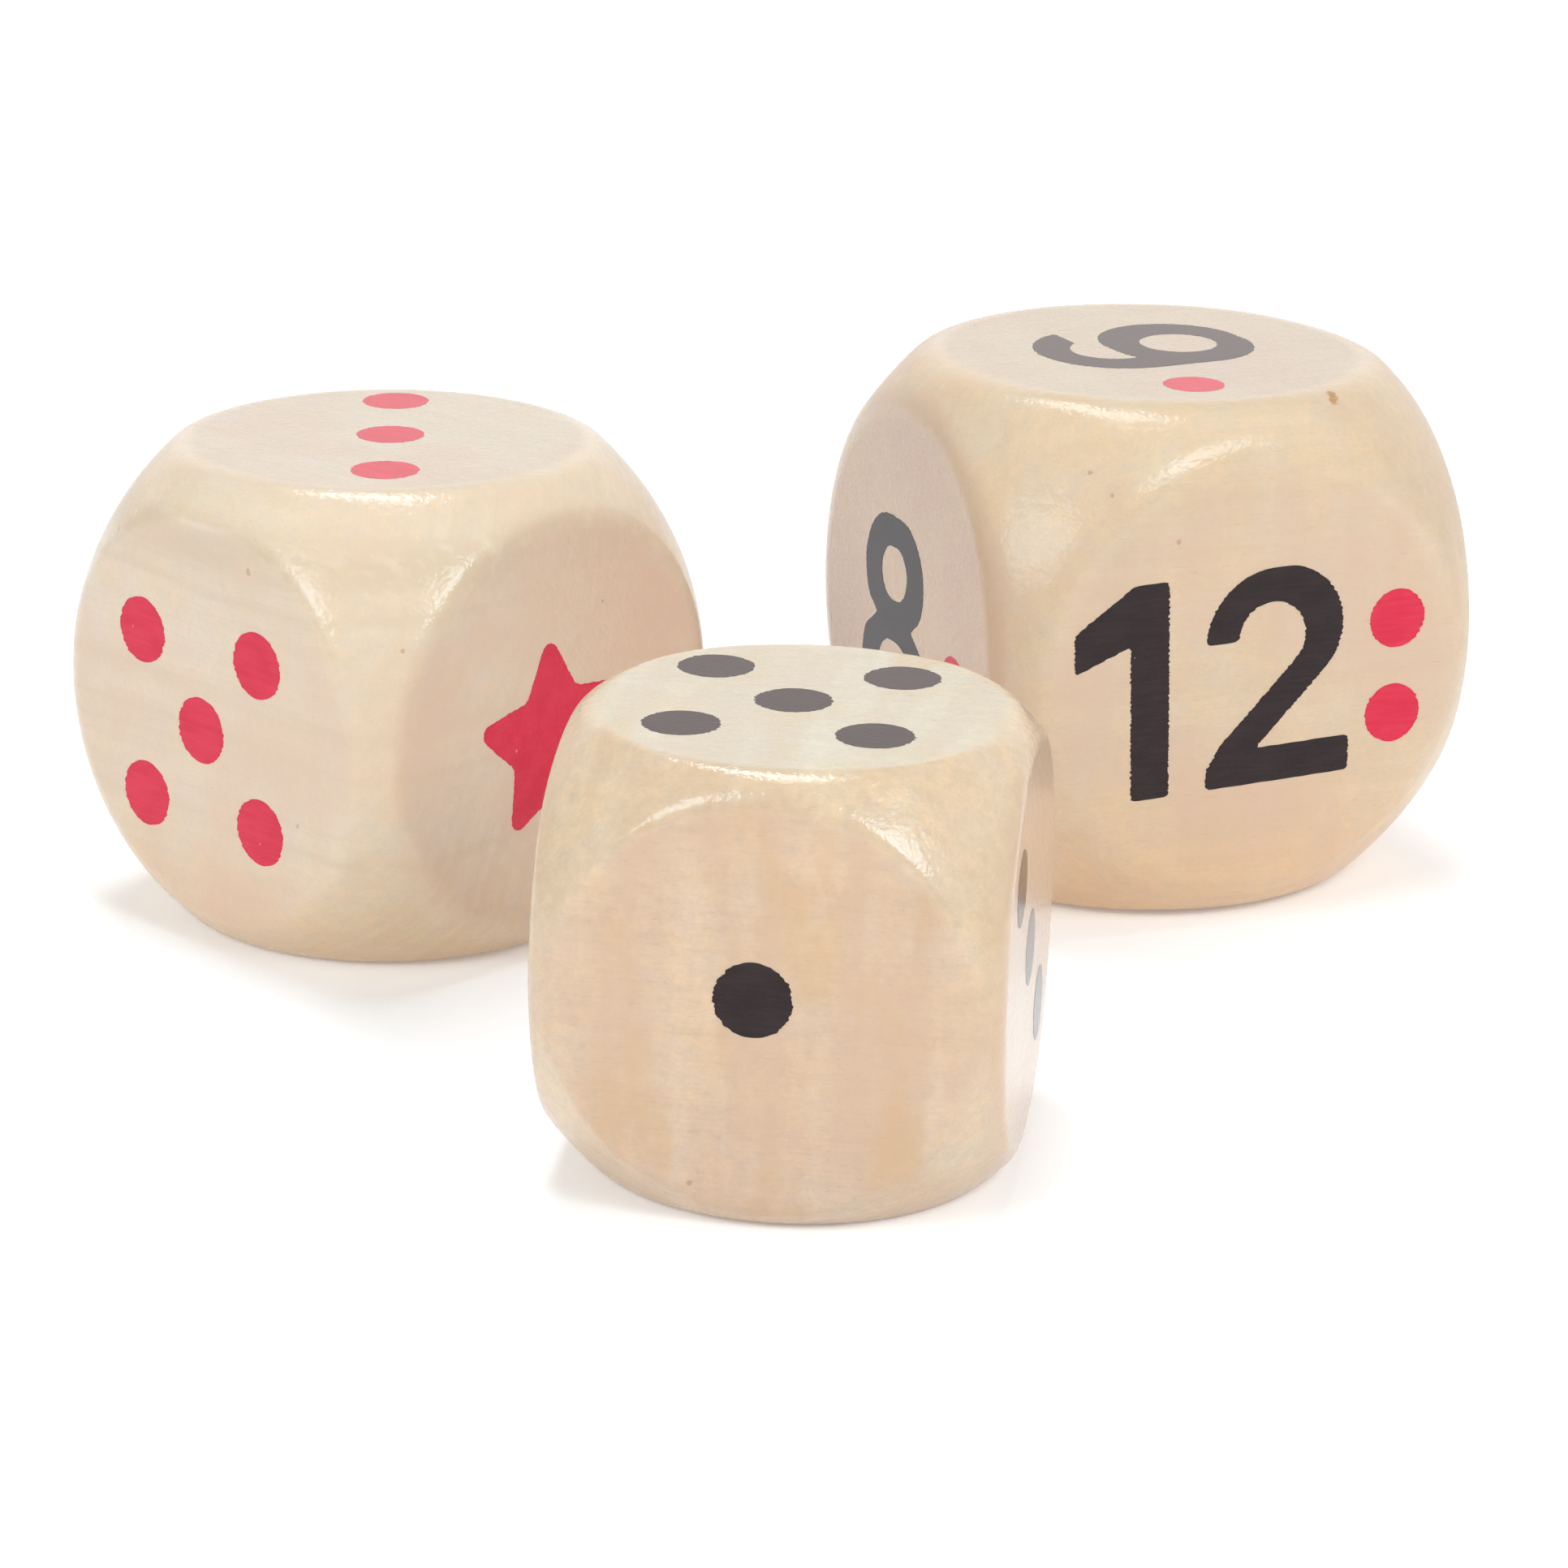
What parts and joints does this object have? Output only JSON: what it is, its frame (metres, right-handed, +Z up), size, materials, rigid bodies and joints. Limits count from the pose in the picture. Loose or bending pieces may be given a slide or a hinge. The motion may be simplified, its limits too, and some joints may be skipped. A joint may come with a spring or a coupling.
{
  "type": "yard dice set",
  "caption": "Loose solid-wood yard dice in different sizes, ball-rounded with round flats, printed with pips, a star and numerals, for throwing on a lawn.",
  "frame": {"origin": "centre of the round flat that the small die stands on", "axes": "+Z up, away from the ground; the small die's face with one pip looks towards -Y, turned 9.1 degrees towards -X; the star die lies behind on the -X side and the number die behind on the +X side"},
  "size_m": [0.2648, 0.2611, 0.1],
  "materials": {
    "small_die_wood": "satin clear lacquer",
    "star_die_wood": "satin clear lacquer",
    "number_die_wood": "satin clear lacquer",
    "black_ink": "printing ink under clear lacquer",
    "red_ink": "printing ink under clear lacquer"
  },
  "bodies": {
    "small_die": {"small_die_block": "small_die_wood", "small_die_one": "black_ink", "small_die_two": "black_ink", "small_die_three": "black_ink", "small_die_four": "black_ink", "small_die_five": "black_ink", "small_die_six": "black_ink"},
    "star_die": {"star_die_block": "star_die_wood", "star_die_star": "red_ink", "star_die_two": "red_ink", "star_die_three": "red_ink", "star_die_four": "red_ink", "star_die_five": "red_ink", "star_die_six": "red_ink"},
    "number_die": {"number_die_block": "number_die_wood", "number_die_seven": "black_ink", "number_die_eight": "black_ink", "number_die_nine": "black_ink", "number_die_ten": "black_ink", "number_die_eleven": "black_ink", "number_die_twelve": "black_ink", "number_die_seven_dot": "red_ink", "number_die_eight_dot": "red_ink", "number_die_nine_dot": "red_ink", "number_die_ten_dots": "red_ink", "number_die_eleven_dots": "red_ink", "number_die_twelve_dots": "red_ink"}
  },
  "joints": [
    {"name": "star_die_lift", "type": "slide", "parent": "small_die", "child": "star_die", "axis": [0, 0, 1], "range_m": [0, 0.3]},
    {"name": "number_die_lift", "type": "slide", "parent": "small_die", "child": "number_die", "axis": [0, 0, 1], "range_m": [0, 0.3]}
  ]
}
